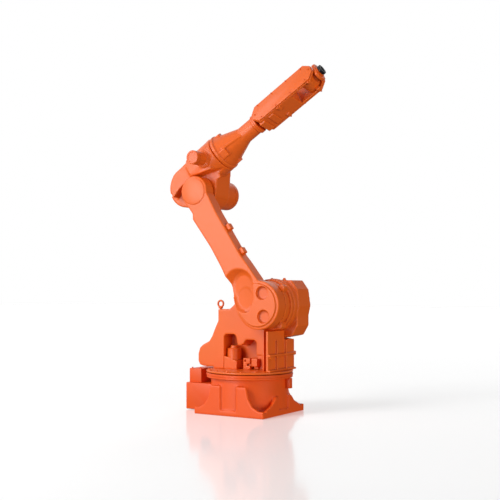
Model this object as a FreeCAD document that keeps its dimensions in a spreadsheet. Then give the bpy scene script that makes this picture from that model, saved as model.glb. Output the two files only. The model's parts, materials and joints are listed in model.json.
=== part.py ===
import FreeCAD, Part
import os
import re

import Sketcher

# Six-axis industrial robot arm on a swivel base.  Millimetres, +Z up, origin on the swivel axis
# at floor level, +X the way the arm works, +Y the motor side.  The joints stand as modelled:
# the lower arm leans back and the forearm rises forward.

os.makedirs("parts", exist_ok=True)
doc = FreeCAD.newDocument("robot_arm")
sheet = doc.addObject("Spreadsheet::Sheet", "dims")

DIMENSIONS = {
    # foot and barrel of the base
    "foot_side": 500,
    "foot_thickness": 32,
    "foot_hole_spacing": 430,
    "foot_hole_radius": 11,
    "barrel_radius": 243,
    "base_height": 221,
    "leg_web": 20,
    "leg_inner": 58,
    "leg_top": 127,
    "side_leg_height": 180,
    "front_leg_height": 115,
    "leg_toe": 42,
    "front_leg_spread": 90,
    "ring_radius": 272,
    "ring_height": 28,
    "swivel_gap": 5,
    "bearing_gap": 0.3,
    "swivel_gearbox_radius": 170,
    # cable box behind the base
    "cable_box_rear": 408,
    "cable_box_half_width": 118,
    "cable_box_height": 168,
    "cable_box_lift": 5,
    "riser_rear": 395,
    "riser_front": 302,
    "riser_half_width": 100,
    "riser_top": 262,
    "panel_thickness": 6,
    # column
    "flange_height": 11,
    "column_near": 50,
    "column_far": 205,
    "column_edge": 135,
    "front_plate_face": 215,
    "front_plate_thickness": 15,
    "front_plate_height": 247,
    "front_plate_near": 135,
    "front_plate_far": 188,
    "rib_depth": 14,
    "rib_width": 12,
    "recess_rear": 163,
    "recess_front": 80,
    "recess_top": 484,
    "recess_step": 357,
    "recess_depth": 100,
    "swivel_motor_radius": 44,
    "swivel_motor_height": 73,
    "swivel_motor_behind": 115,
    # shoulder
    "shoulder_ahead": 143,
    "shoulder_height": 670,
    "shoulder_rim": 150,
    "shoulder_ring_radius": 156,
    "housing_near": 0,
    "housing_far": 220,
    "housing_front": 175,
    "housing_top": 154,
    "housing_bottom": 190,
    "shoulder_motor_radius": 78,
    "shoulder_motor_length": 120,
    # lower arm
    "arm_length": 870,
    "arm_lean": 33.6,
    "arm_thickness": 84,
    "arm_waist_front": 65,
    "arm_waist_rear": 92,
    "elbow_rim": 98,
    "side_gap": 6,
    "disc_radius": 130,
    "disc_height": 10,
    "disc_pocket_radius": 40,
    "disc_pocket_ring": 83,
    "disc_pocket_depth": 6,
    "cap_radius": 84,
    "cap_height": 6,
    # elbow
    "forearm_rise": 32.0,
    "elbow_offset": 143,
    "elbow_body_radius": 112,
    "elbow_rear_radius": 132,
    "elbow_rear_back": 86,
    "elbow_rear_up": 103,
    "elbow_far": 108,
    "elbow_cheek": 112,
    "elbow_barrel_radius": 122,
    "elbow_front": 239,
    "elbow_motor_radius": 95,
    "elbow_motor_far": 255,
    "roll_motor_radius": 44,
    "roll_motor_ahead": 156,
    "roll_motor_end": 236,
    # forearm
    "forearm_gap": 5,
    "forearm_flange_radius": 122,
    "forearm_flange_thickness": 22,
    "forearm_shoulder_radius": 104,
    "forearm_cone_end": 434,
    "tube_radius": 56,
    "collar_radius": 64,
    "collar_start": 546,
    "box_start": 572,
    "box_end": 1064,
    "box_half_width": 65,
    "box_half_height": 63,
    "box_chamfer": 40,
    "cover_thickness": 10,
    "wrist_roll": 18,
    "wrist_ahead": 992,
    "fork_gap": 50,
    "fork_depth": 122,
    # wrist
    "hub_radius": 54,
    "hub_clearance": 5,
    "pivot_radius": 34,
    "hand_radius": 50,
    "hand_ring_radius": 58,
    "flange_reach": 112,
    "flange_radius": 31.5,
    "flange_thickness": 14,
    "flange_pilot_radius": 15.75,
    "flange_pilot_depth": 6,
    "flange_bolt_circle": 50,
    "flange_bolt_radius": 3,
}

for row, (alias, value) in enumerate(DIMENSIONS.items(), start=1):
    sheet.set(f"A{row}", alias)
    sheet.set(f"B{row}", str(value))
    sheet.setAlias(f"B{row}", alias)
doc.recompute()


def bound(text):
    """Writes the sheet's name before each dimension of an expression."""
    return re.sub(r"\b([a-z]+(?:_[a-z]+)+)\b", r"dims.\1", str(text))


def value(text):
    """Works out an expression over the sheet as a number."""
    result = sheet.evalExpression(bound(text))
    return float(getattr(result, "Value", result))


# Frames: where a sub-part's own axes stand in the whole machine.
TURN_Y = "rotation(vector(0; 1; 0); 0 - {})"
TURN_X = "rotation(vector(1; 0; 0); 0 - {})"
ELBOW_X = "shoulder_ahead - arm_length * sin(arm_lean * 1 deg)"
ELBOW_Z = "shoulder_height + arm_length * cos(arm_lean * 1 deg)"
WORLD = "placement(vector(0; 0; 0); rotation(vector(0; 0; 1); 0))"
SHOULDER = f"placement(vector(shoulder_ahead; 0; shoulder_height); {TURN_Y.format('0')})"
ARM = f"placement(vector(shoulder_ahead; 0; shoulder_height); {TURN_Y.format('arm_lean')})"
ELBOW = f"placement(vector({ELBOW_X}; 0; {ELBOW_Z}); {TURN_Y.format('forearm_rise')})"
FOREARM = f"{ELBOW} * placement(vector(0; 0; elbow_offset); {TURN_X.format('wrist_roll')})"

# Turns that lay a cylinder's own +Z along another axis.
AXIS_TURNS = {
    "+Z": "rotation(vector(0; 0; 1); 0)",
    "+X": "rotation(vector(0; 1; 0); 90)",
    "-X": "rotation(vector(0; 1; 0); 0 - 90)",
    "+Y": "rotation(vector(1; 0; 0); 0 - 90)",
    "-Y": "rotation(vector(1; 0; 0); 90)",
}

nodes = []
seats = {}


def keep(label, obj, frame=WORLD):
    """Makes an object one of the machine's sub-parts, placed in its frame."""
    obj.Label = label
    seat = seats.get(obj.Name)
    obj.setExpression("Placement", bound(f"{frame} * {seat}" if seat else frame))
    nodes.append(obj)
    return obj


def place(obj, x, y, z, axis="+Z"):
    """Seats a primitive at x, y, z with its own +Z along axis."""
    seat = f"placement(vector({x}; {y}; {z}); {AXIS_TURNS[axis]})"
    obj.setExpression("Placement", bound(seat))
    seats[obj.Name] = seat
    return obj


def cylinder(radius, length, x=0, y=0, z=0, axis="+Z"):
    """A cylinder that starts at x, y, z and runs along axis."""
    obj = doc.addObject("Part::Cylinder", "cylinder")
    obj.setExpression("Radius", bound(radius))
    obj.setExpression("Height", bound(length))
    return place(obj, x, y, z, axis)


def cone(radius_start, radius_end, length, x=0, y=0, z=0, axis="+Z"):
    obj = doc.addObject("Part::Cone", "cone")
    obj.setExpression("Radius1", bound(radius_start))
    obj.setExpression("Radius2", bound(radius_end))
    obj.setExpression("Height", bound(length))
    return place(obj, x, y, z, axis)


def torus(ring_radius, wire_radius, x=0, y=0, z=0, axis="+Z"):
    obj = doc.addObject("Part::Torus", "torus")
    obj.setExpression("Radius1", bound(ring_radius))
    obj.setExpression("Radius2", bound(wire_radius))
    return place(obj, x, y, z, axis)


def box(x_low, x_high, y_low, y_high, z_low, z_high):
    obj = doc.addObject("Part::Box", "box")
    obj.setExpression("Length", bound(f"({x_high}) - ({x_low})"))
    obj.setExpression("Width", bound(f"({y_high}) - ({y_low})"))
    obj.setExpression("Height", bound(f"({z_high}) - ({z_low})"))
    return place(obj, x_low, y_low, z_low)


def fuse(*shapes):
    obj = doc.addObject("Part::MultiFuse", "fuse")
    obj.Shapes = list(shapes)
    obj.Refine = True
    return obj


def cut(base, *tools):
    obj = doc.addObject("Part::Cut", "cut")
    obj.Base = base
    obj.Tool = tools[0] if len(tools) == 1 else fuse(*tools)
    obj.Refine = True
    return obj


def body():
    return doc.addObject("PartDesign::Body", "body")


def sketch_on(owner, role, offset="0"):
    """A sketch on one of the body's own planes, moved along the plane's normal."""
    sketch = owner.newObject("Sketcher::SketchObject", "sketch")
    plane = next(item for item in owner.Origin.OriginFeatures if item.Role == role)
    sketch.AttachmentSupport = [(plane, "")]
    sketch.MapMode = "FlatFace"
    sketch.setExpression(".AttachmentOffset.Base.z", bound(offset))
    return sketch


def bind_distance(sketch, kind, index, point, text):
    number = sketch.addConstraint(Sketcher.Constraint(kind, -1, 1, index, point, value(text)))
    sketch.setExpression(f"Constraints[{number}]", bound(text))


def draw_outline(sketch, points):
    """A closed outline of straight runs; every corner is two expressions over the sheet."""
    corners = [FreeCAD.Vector(value(x), value(y), 0) for x, y in points]
    count = len(points)
    for index in range(count):
        line = Part.LineSegment(corners[index], corners[(index + 1) % count])
        sketch.addGeometry(line, False)
    for index in range(count):
        sketch.addConstraint(Sketcher.Constraint("Coincident", index, 2, (index + 1) % count, 1))
    for index, (x, y) in enumerate(points):
        bind_distance(sketch, "DistanceX", index, 1, x)
        bind_distance(sketch, "DistanceY", index, 1, y)


def pad(owner, sketch, length):
    feature = owner.newObject("PartDesign::Pad", "pad")
    feature.Profile = sketch
    feature.setExpression("Length", bound(length))
    owner.Tip = feature
    return feature


def pocket(owner, sketch, length, reverse=False):
    feature = owner.newObject("PartDesign::Pocket", "pocket")
    feature.Profile = sketch
    feature.Reversed = reverse
    feature.setExpression("Length", bound(length))
    owner.Tip = feature
    return feature


def side_slab(owner, points, y_low, y_high):
    """Pads an outline in X and Z from y_low to y_high."""
    sketch = sketch_on(owner, "XZ_Plane", f"0 - ({y_high})")
    draw_outline(sketch, points)
    return pad(owner, sketch, f"({y_high}) - ({y_low})")


def side_pocket(owner, points, y_low, y_high):
    """Cuts an outline in X and Z out of the body from y_low to y_high."""
    doc.recompute()
    before = owner.Shape.Volume
    sketch = sketch_on(owner, "XZ_Plane", f"0 - ({y_low})")
    draw_outline(sketch, points)
    feature = pocket(owner, sketch, f"({y_high}) - ({y_low})")
    doc.recompute()
    assert owner.Shape.Volume < before
    return feature


def front_slab(owner, points, x_low, x_high):
    """Pads an outline in Y and Z from x_low to x_high."""
    sketch = sketch_on(owner, "YZ_Plane", x_low)
    draw_outline(sketch, points)
    return pad(owner, sketch, f"({x_high}) - ({x_low})")


def polar(radius, degrees, ahead="0", up="0"):
    """A point at an angle on a circle round (ahead, up)."""
    turn = f"(({degrees}) * 1 deg)"
    return (f"({ahead}) + ({radius}) * cos{turn}", f"({up}) + ({radius}) * sin{turn}")


# ---------------------------------------------------------------- base

BASE_TOP = "base_height + ring_height"


def leg(points, side):
    """A flared leg that stands against one side of the barrel, flush with the foot."""
    web = body()
    low = "foot_side / 2 - leg_web"
    if side == "+X":
        front_slab(web, points, low, "foot_side / 2")
    elif side == "+Y":
        side_slab(web, points, low, "foot_side / 2")
    else:
        side_slab(web, points, "0 - foot_side / 2", f"0 - ({low})")
    return web


def side_leg(hand):
    """Outline of a leg on the -Y or +Y side: steep beside the barrel, then low to the corner."""
    return [
        (f"{hand} * leg_inner", "foot_thickness / 2"),
        (f"{hand} * foot_side / 2", "foot_thickness / 2"),
        (f"{hand} * foot_side / 2", "leg_toe"),
        (f"{hand} * (leg_top + 90)", "leg_toe"),
        (f"{hand} * (leg_top + 47)", "leg_toe + (side_leg_height - leg_toe) * 0.16"),
        (f"{hand} * (leg_top + 17)", "leg_toe + (side_leg_height - leg_toe) * 0.48"),
        (f"{hand} * leg_top", "side_leg_height"),
        (f"{hand} * leg_inner", "side_leg_height"),
    ]


def front_leg(hand, spread):
    """Outline of a leg on the +X side; spread is how far its flare reaches."""
    return [
        (f"{hand} * leg_inner", "foot_thickness / 2"),
        (f"{hand} * ({spread} + 117)", "foot_thickness / 2"),
        (f"{hand} * ({spread} + 117)", "leg_toe"),
        (f"{hand} * ({spread} + 46)", "leg_toe + (front_leg_height - leg_toe) * 0.38"),
        (f"{hand} * {spread}", "front_leg_height"),
        (f"{hand} * leg_inner", "front_leg_height"),
    ]


def make_base_casting():
    half = "foot_side / 2"
    shapes = [
        box(f"0 - {half}", half, f"0 - {half}", half, "0", "foot_thickness"),
        cylinder("barrel_radius", "base_height"),
    ]
    for hand in (1, -1):
        shapes += [leg(side_leg(hand), "-Y"), leg(side_leg(hand), "+Y")]
        shapes.append(leg(front_leg(hand, "front_leg_spread"), "+X"))
    holes = []
    for x_hand in (-1, 1):
        for y_hand in (-1, 1):
            x = f"{x_hand} * foot_hole_spacing / 2"
            y = f"{y_hand} * foot_hole_spacing / 2"
            holes.append(cylinder("foot_hole_radius", "foot_thickness + 20", x, y, "0 - 10"))
    pit = cylinder("swivel_gearbox_radius", "60", z="base_height - 50")
    keep("base_casting", cut(fuse(*shapes), *holes, pit))


def make_base_ring():
    ring = cylinder("ring_radius", "ring_height", z="base_height")
    bore = cylinder("swivel_gearbox_radius", "ring_height + 20", z="base_height - 10")
    keep("base_ring", cut(ring, bore))


def make_swivel_gearbox():
    height = "50 + ring_height + swivel_gap - bearing_gap"
    keep("swivel_gearbox", cylinder("swivel_gearbox_radius", height, z="base_height - 50"))


def make_cable_boxes():
    half = "cable_box_half_width"
    reach = "barrel_radius * 0.8"
    lower = box("0 - cable_box_rear", f"0 - {reach}", f"0 - {half}", half,
                "cable_box_lift", "cable_box_lift + cable_box_height")
    clear_foot = box("0 - foot_side / 2", "0", "0 - foot_side", "foot_side", "0", "foot_thickness")
    barrel = cylinder("barrel_radius", "base_height")
    keep("cable_box", cut(lower, clear_foot, barrel))
    half = "riser_half_width"
    top_of_box = "cable_box_lift + cable_box_height"
    keep("cable_riser", box("0 - riser_rear", "0 - riser_front", f"0 - {half}", half,
                            top_of_box, "riser_top"))
    rear = "cable_box_rear + panel_thickness"
    inset = "14"
    keep("cable_panel", box(f"0 - ({rear})", "0 - cable_box_rear",
                            f"0 - cable_box_half_width + {inset}", f"cable_box_half_width - {inset}",
                            f"cable_box_lift + {inset}", f"{top_of_box} - {inset}"))
    middle = "cable_box_lift + cable_box_height / 2"
    for label, y in (("power_connector", "-45"), ("signal_connector", "45")):
        keep(label, cylinder("30", "24", f"0 - ({rear})", y, middle, "-X"))


def make_swivel_stop():
    block = box("barrel_radius - 20", "ring_radius + 4", "25", "55", "158", "base_height")
    keep("swivel_stop", cut(block, cylinder("barrel_radius", "base_height")))


# ---------------------------------------------------------------- column

COLUMN_FOOT = f"{BASE_TOP} + swivel_gap"
COLUMN_FLOOR = f"{COLUMN_FOOT} + flange_height"


def make_column_flange():
    keep("column_flange", cylinder("ring_radius", "flange_height", z=COLUMN_FOOT))


def make_column_casting():
    floor = COLUMN_FLOOR
    near = "0 - column_near"
    outline = [
        ("column_edge", floor),
        ("column_edge", "shoulder_height - 80"),
        ("shoulder_ahead", "shoulder_height + shoulder_rim * 0.9"),
        polar("shoulder_rim", "135", "shoulder_ahead", "shoulder_height"),
        ("-122", "shoulder_height - 29"),
        ("-207", "shoulder_height - 29"),
        ("-207", "shoulder_height - 100"),
        ("-230", "525"),
        ("-253", "473"),
        ("-276", "436"),
        ("-323", "414"),
        ("-349", "393"),
        ("-363", "352"),
        ("-363", "310"),
        ("-350", "284"),
        ("-325", f"{floor} + 10"),
        ("-243", f"{floor} + 10"),
        ("-243", floor),
    ]
    plate = body()
    side_slab(plate, outline, near, "recess_depth - column_near + 15")
    recess = [
        ("0 - recess_rear", floor),
        ("column_edge - 12", floor),
        ("column_edge - 12", "recess_step"),
        ("recess_front", "recess_step"),
        ("recess_front", "recess_top - 49"),
        ("recess_front - 15", "recess_top - 33"),
        ("0", "recess_top - 33"),
        ("-12", "recess_top - 54"),
        ("-35", "recess_top - 69"),
        ("-60", "recess_top - 69"),
        ("-71", "recess_top - 14"),
        ("-85", "recess_top"),
        ("0 - recess_rear + 13", "recess_top"),
        ("0 - recess_rear", "recess_top - 14"),
    ]
    side_pocket(plate, recess, near, f"recess_depth + ({near})")
    core = body()
    under_housing = [
        ("0 - recess_rear - 33", floor),
        ("front_plate_face - front_plate_thickness", floor),
        ("front_plate_face - front_plate_thickness", "shoulder_height - housing_bottom - 26"),
        ("shoulder_ahead - 154", "shoulder_height - housing_bottom"),
        ("shoulder_ahead - 164", "shoulder_height - 30"),
        ("0 - recess_rear - 33", "shoulder_height - 30"),
    ]
    side_slab(core, under_housing, f"recess_depth + ({near})", "column_far - 6")
    rim = cylinder("shoulder_rim", "column_near", "shoulder_ahead", near, "shoulder_height", "+Y")
    neck_room = cylinder("shoulder_ring_radius", "column_far + 50", "shoulder_ahead", "0",
                         "shoulder_height", "+Y")
    keep("column_casting", cut(fuse(plate, core, rim), neck_room))


def make_front_plate():
    face = "front_plate_face"
    back = f"{face} - front_plate_thickness"
    low = "0 - front_plate_near"
    high = "front_plate_far"
    floor = COLUMN_FLOOR
    top = f"{floor} + front_plate_height"
    step = "shoulder_height - housing_bottom - 26"
    depth = f"{face} + rib_depth"
    shapes = [box(back, face, low, "housing_near + 66", floor, top),
              box(back, face, "housing_near + 60", high, floor, step)]
    for y in ("-46", "64"):
        shapes.append(box(face, depth, y, f"{y} + rib_width", floor, step))
    for z in (floor, f"{floor} + front_plate_height * 0.38"):
        shapes.append(box(face, depth, low, high, z, f"{z} + rib_width"))
    keep("column_front_plate", fuse(*shapes))


def make_column_lugs():
    z = f"{COLUMN_FLOOR} + 84"
    keep("column_side_lug",
         box("column_edge + 20", "front_plate_face - front_plate_thickness - 5",
             "column_far - 6", "column_far + 45", z, f"{z} + 26"))
    x = "0 - recess_rear - 32"
    y = "0 - column_near + 12"
    top = "shoulder_height - 29"
    shank = cylinder("8", "12", x, y, top)
    collar = cylinder("15", "8", x, y, f"{top} + 4")
    ring = torus("20", "6", x, y, f"{top} + 34", "+Y")
    keep("rear_eyebolt", fuse(shank, collar, ring))


def make_swivel_motor():
    x = "0 - swivel_motor_behind"
    y = "recess_depth / 2 - column_near"
    floor = COLUMN_FLOOR
    mount_top = f"{floor} + 57"
    keep("swivel_motor_mount",
         box(f"{x} - 46", f"{x} + 48", f"{y} - 46", f"{y} + 46", floor, mount_top))
    can = cylinder("swivel_motor_radius", "swivel_motor_height", x, y, mount_top)
    cap = cylinder("swivel_motor_radius / 2", "swivel_motor_height + 17", x, y, mount_top)
    keep("swivel_motor", fuse(can, cap))
    keep("recess_bracket", box("-38", "14", f"{y} - 20", f"{y} + 10", floor, f"{floor} + 70"))
    keep("recess_block", box("24", "66", f"{y} - 20", "recess_depth - column_near",
                             f"{floor} + 20", f"{floor} + 68"))


def make_shoulder():
    keep("shoulder_gearbox",
         cylinder("shoulder_rim - 30", "side_gap - bearing_gap", "0",
                  "0 - column_near", "0", "-Y"), SHOULDER)
    housing = body()
    chamfer = "58"
    front = "housing_front"
    points = [
        ("0 - 150", "0 - housing_bottom"),
        ("22", "0 - housing_bottom - 20"),
        (f"{front} - 51", "0 - housing_bottom"),
        (f"{front} - 14", "-130"),
        (f"{front} - 14", "-67"),
        (front, "-5"),
        (f"{front} - 14", "95"),
        (f"{front} - {chamfer}", "housing_top"),
        ("0 - 110", "housing_top"),
        ("0 - 160", "100"),
    ]
    side_slab(housing, points, "housing_near + 70", "housing_far")
    neck = cylinder("shoulder_ring_radius", "housing_near + 70", "0", "0", "0", "+Y")
    keep("shoulder_housing", fuse(housing, neck), SHOULDER)
    keep("shoulder_motor_mount",
         box("-90", "90", "housing_far", "housing_far + 16", "-90", "90"), SHOULDER)
    keep("shoulder_motor",
         cylinder("shoulder_motor_radius", "shoulder_motor_length - 16", "0",
                  "housing_far + 16", "0", "+Y"), SHOULDER)


# ---------------------------------------------------------------- lower arm

ARM_BACK = "0 - column_near - side_gap"
ARM_FACE = f"({ARM_BACK} - arm_thickness)"


def make_lower_arm():
    link = body()
    points = [
        ("0 - shoulder_rim", "0"),
        ("0 - shoulder_rim + 3", "arm_length * 0.12"),
        ("0 - arm_waist_rear - 14", "arm_length * 0.26"),
        ("0 - arm_waist_rear - 3", "arm_length * 0.40"),
        ("0 - arm_waist_rear", "arm_length * 0.57"),
        ("0 - elbow_rim - 9", "arm_length * 0.83"),
        ("0 - elbow_rim + 10", "arm_length * 0.868"),
        ("0 - elbow_rim", "arm_length"),
        ("elbow_rim", "arm_length"),
        ("elbow_rim - 21", "arm_length * 0.94"),
        ("arm_waist_front", "arm_length * 0.76"),
        ("arm_waist_front", "arm_length * 0.375"),
        ("arm_waist_front + 8", "arm_length * 0.31"),
        ("arm_waist_front + 20", "arm_length * 0.14"),
        ("shoulder_rim - 32", "arm_length * 0.05"),
        ("shoulder_rim", "0"),
    ]
    side_slab(link, points, ARM_FACE, ARM_BACK)
    low = cylinder("shoulder_rim", "arm_thickness", "0", ARM_FACE, "0", "+Y")
    high = cylinder("elbow_rim", "arm_thickness", "0", ARM_FACE, "arm_length", "+Y")
    keep("lower_arm", fuse(link, low, high), ARM)
    disc = cylinder("disc_radius", "disc_height", "0", ARM_FACE, "0", "-Y")
    pockets = []
    for step in range(3):
        x, z = polar("disc_pocket_ring", f"{step} * 120 + 30")
        depth = f"{ARM_FACE} - disc_height + disc_pocket_depth"
        pockets.append(cylinder("disc_pocket_radius", "disc_pocket_depth + 10", x, depth, z, "-Y"))
    keep("shoulder_cover", cut(disc, *pockets), ARM)
    keep("elbow_cover", cylinder("cap_radius", "cap_height", "0", ARM_FACE, "arm_length", "-Y"), ARM)
    for label, share in (("hose_clamp_low", 0.405), ("hose_clamp_high", 0.615)):
        z = f"arm_length * {share}"
        keep(label, box("arm_waist_front", "arm_waist_front + 26", f"{ARM_FACE} + 22",
                        f"{ARM_BACK} - 22", f"{z} - 20", f"{z} + 20"), ARM)


# ---------------------------------------------------------------- elbow

ELBOW_NEAR = f"{ARM_BACK} + side_gap"


def make_elbow():
    profile = body()
    rear_x = "0 - elbow_rear_back"
    rear_z = "elbow_rear_up"
    points = [
        ("elbow_front - 10", "elbow_offset + elbow_barrel_radius - 3"),
        (rear_x, f"{rear_z} + elbow_rear_radius"),
        polar("elbow_rear_radius", "132", rear_x, rear_z),
        polar("elbow_rear_radius", "180", rear_x, rear_z),
        polar("elbow_rear_radius", "222", rear_x, rear_z),
        polar("elbow_body_radius", "222", "0", "0"),
        polar("elbow_body_radius", "270", "0", "0"),
        polar("elbow_body_radius", "320", "0", "0"),
        ("elbow_front - 60", "elbow_offset - elbow_barrel_radius + 30"),
        ("elbow_front - 10", "elbow_offset"),
    ]
    side_slab(profile, points, ELBOW_NEAR, "elbow_far")
    rear = cylinder("elbow_rear_radius", f"elbow_far - ({ELBOW_NEAR})", rear_x, ELBOW_NEAR, rear_z,
                    "+Y")
    ring = cylinder("elbow_body_radius", f"elbow_far - ({ELBOW_NEAR})", "0", ELBOW_NEAR, "0", "+Y")
    barrel = cylinder("elbow_barrel_radius", "elbow_front - 20", "20", "0", "elbow_offset", "+X")
    cheek = body()
    cheek_x = f"{rear_x} + 33"
    cheek_z = f"{rear_z} - 20"
    cheek_points = [
        ("elbow_front - 60", "0"),
        ("elbow_front - 60", "elbow_offset + 60"),
        (cheek_x, f"{cheek_z} + elbow_rear_radius - 12"),
        (cheek_x, "0"),
    ]
    side_slab(cheek, cheek_points, "0 - elbow_cheek", f"{ELBOW_NEAR} + 10")
    cheek_round = cylinder("elbow_rear_radius - 12", f"{ELBOW_NEAR} + 10 + elbow_cheek",
                           cheek_x, "0 - elbow_cheek", cheek_z, "+Y")
    room = "elbow_rim + 8"
    swept_by_arm = body()
    side_slab(swept_by_arm, [
        ("0 - 400", "0 - 400"),
        ("300", "0 - 400"),
        ("300", "elbow_rim - 85"),
        ("elbow_rim + 2", "elbow_rim - 18"),
        polar(room, "72"),
        polar(room, "90"),
        polar(room, "108"),
        ("0 - elbow_rim - 6", "elbow_rim - 6"),
        ("0 - elbow_rim - 72", "elbow_rim - 26"),
        ("0 - 400", "0"),
    ], "0 - 400", ELBOW_NEAR)
    solids = fuse(profile, rear, ring, barrel, cheek, cheek_round)
    keep("elbow_casting", cut(solids, swept_by_arm), ELBOW)
    keep("elbow_gearbox", cylinder("elbow_rim - 18", "side_gap - bearing_gap", "0", ELBOW_NEAR, "0",
                                   "-Y"), ELBOW)
    keep("elbow_motor_mount", cut(
        cylinder("elbow_motor_radius + 9", "18", "0", "elbow_far", "0", "+Y"),
        cylinder("elbow_barrel_radius", "400", "-60", "0", "elbow_offset", "+X")), ELBOW)
    keep("elbow_motor", cylinder("elbow_motor_radius", "elbow_motor_far - elbow_far - 18", "0",
                                 "elbow_far + 18", "0", "+Y"), ELBOW)
    x = "roll_motor_ahead"
    root = "0 - elbow_cheek"
    keep("roll_motor_mount", cut(
        cylinder("roll_motor_radius + 12", "24", x, root, "elbow_offset", "-Y"),
        cylinder("elbow_barrel_radius", "400", "-60", "0", "elbow_offset", "+X")), ELBOW)
    keep("roll_motor", cylinder("roll_motor_radius", f"roll_motor_end + ({root}) - 24", x,
                                f"({root}) - 24", "elbow_offset", "-Y"), ELBOW)
    keep("roll_bearing", cylinder("forearm_flange_radius - 40", "forearm_gap - bearing_gap",
                                  "elbow_front", "0", "elbow_offset", "+X"), ELBOW)


# ---------------------------------------------------------------- forearm

FOREARM_START = "elbow_front + forearm_gap"


def make_forearm():
    start = FOREARM_START
    cone_start = f"{start} + forearm_flange_thickness"
    flange = cylinder("forearm_flange_radius", "forearm_flange_thickness", start, axis="+X")
    taper = cone("forearm_shoulder_radius + 8", "tube_radius", f"forearm_cone_end - ({cone_start})",
                 cone_start, axis="+X")
    tube = cylinder("tube_radius", f"collar_start - ({cone_start})", cone_start, axis="+X")
    keep("forearm_casting", fuse(flange, taper, tube), FOREARM)
    keep("forearm_collar", cylinder("collar_radius", "box_start - collar_start", "collar_start",
                                    axis="+X"), FOREARM)


def cover_outline(inset):
    low = f"0 - box_half_height + ({inset})"
    high = f"box_half_height - ({inset})"
    front = f"box_end - ({inset})"
    rear = f"box_start + ({inset})"
    return [
        (f"{rear} + box_chamfer", low),
        (f"{front} - box_chamfer", low),
        (front, "-22"),
        (front, "22"),
        (f"{front} - box_chamfer", high),
        (f"{rear} + box_chamfer", high),
        (rear, "18"),
        (rear, "-18"),
    ]


def make_wrist_box():
    shell = body()
    side_slab(shell, cover_outline("0"), "0 - box_half_width", "box_half_width")
    slot = box("wrist_ahead - fork_depth", "box_end + 40", "0 - fork_gap", "fork_gap",
               "-200", "200")
    keep("wrist_box", cut(shell, slot), FOREARM)
    for label, low, high in (
        ("wrist_cover_near", "0 - box_half_width - cover_thickness", "0 - box_half_width"),
        ("wrist_cover_far", "box_half_width", "box_half_width + cover_thickness"),
    ):
        cover = body()
        side_slab(cover, cover_outline("2"), low, high)
        keep(label, cover, FOREARM)
    for label, side, axis in (("wrist_pivot_near", "0 - fork_gap", "+Y"),
                              ("wrist_pivot_far", "fork_gap", "-Y")):
        keep(label, cylinder("pivot_radius", "hub_clearance - bearing_gap", "wrist_ahead", side,
                             "0", axis), FOREARM)


def make_wrist():
    width = "2 * (fork_gap - hub_clearance)"
    keep("wrist_hub", cylinder("hub_radius", width, "wrist_ahead",
                               "0 - fork_gap + hub_clearance", "0", "+Y"), FOREARM)
    neck = "wrist_ahead + hub_radius - 18"
    front = "wrist_ahead + flange_reach - flange_thickness - hub_clearance"
    hand = cylinder("hand_radius - 14", f"{front} - ({neck})", neck, axis="+X")
    hub = cylinder("hub_radius", width, "wrist_ahead", "0 - fork_gap + hub_clearance", "0", "+Y")
    keep("wrist_hand", cut(hand, hub), FOREARM)
    ring = cylinder("hand_ring_radius", "18", f"{front} - 24", axis="+X")
    hole = cylinder("hand_radius - 14", "60", f"{front} - 50", axis="+X")
    flat = "fork_gap - hub_clearance"
    sides = [box(f"{front} - 40", f"{front} + 20", low, high, "-90", "90")
             for low, high in (("-90", f"0 - ({flat})"), (flat, "90"))]
    keep("wrist_ring", cut(ring, hole, *sides), FOREARM)
    keep("flange_bearing", cylinder("flange_radius - 14", "hub_clearance - bearing_gap", front,
                                    axis="+X"), FOREARM)


def make_tool_flange():
    start = "wrist_ahead + flange_reach - flange_thickness"
    disc = cylinder("flange_radius", "flange_thickness", start, axis="+X")
    end = "wrist_ahead + flange_reach"
    pilot = cylinder("flange_pilot_radius", "flange_pilot_depth + 10", f"{end} - flange_pilot_depth",
                     axis="+X")
    holes = []
    for step in range(4):
        y, z = polar("flange_bolt_circle / 2", f"{step} * 90 + 45")
        holes.append(cylinder("flange_bolt_radius", "22", f"{end} - 12", y, z, "+X"))
    keep("tool_flange", cut(disc, pilot, *holes), FOREARM)


make_base_casting()
make_base_ring()
make_swivel_gearbox()
make_cable_boxes()
make_swivel_stop()
make_column_flange()
make_column_casting()
make_front_plate()
make_column_lugs()
make_swivel_motor()
make_shoulder()
make_lower_arm()
make_elbow()
make_forearm()
make_wrist_box()
make_wrist()
make_tool_flange()
doc.recompute()

for obj in doc.Objects:
    if "Invalid" in obj.State or "Error" in obj.State:
        raise RuntimeError(f"{obj.Label} did not rebuild: {obj.State}")
for node in nodes:
    shape = node.Shape
    if shape.isNull() or not shape.isValid() or not shape.Solids:
        raise RuntimeError(f"{node.Label} has no sound shape")
for node in nodes:
    node.Shape.exportStep(os.path.join("parts", f"{node.Label}.step"))
    box_of = node.Shape.BoundBox
    print(f"{node.Label:22s} solids {len(node.Shape.Solids)} volume {node.Shape.Volume / 1e3:9.0f} cm3",
          f"X {box_of.XMin:.0f}..{box_of.XMax:.0f} Y {box_of.YMin:.0f}..{box_of.YMax:.0f}",
          f"Z {box_of.ZMin:.0f}..{box_of.ZMax:.0f}")
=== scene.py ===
"""Looks of the jointed robot arm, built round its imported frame: metres, +Z up, +X forward."""
import json
import logging
import math
from dataclasses import dataclass
from enum import Enum
from typing import Iterable, Sequence

import bmesh
import bpy
from mathutils import Matrix, Vector


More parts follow.
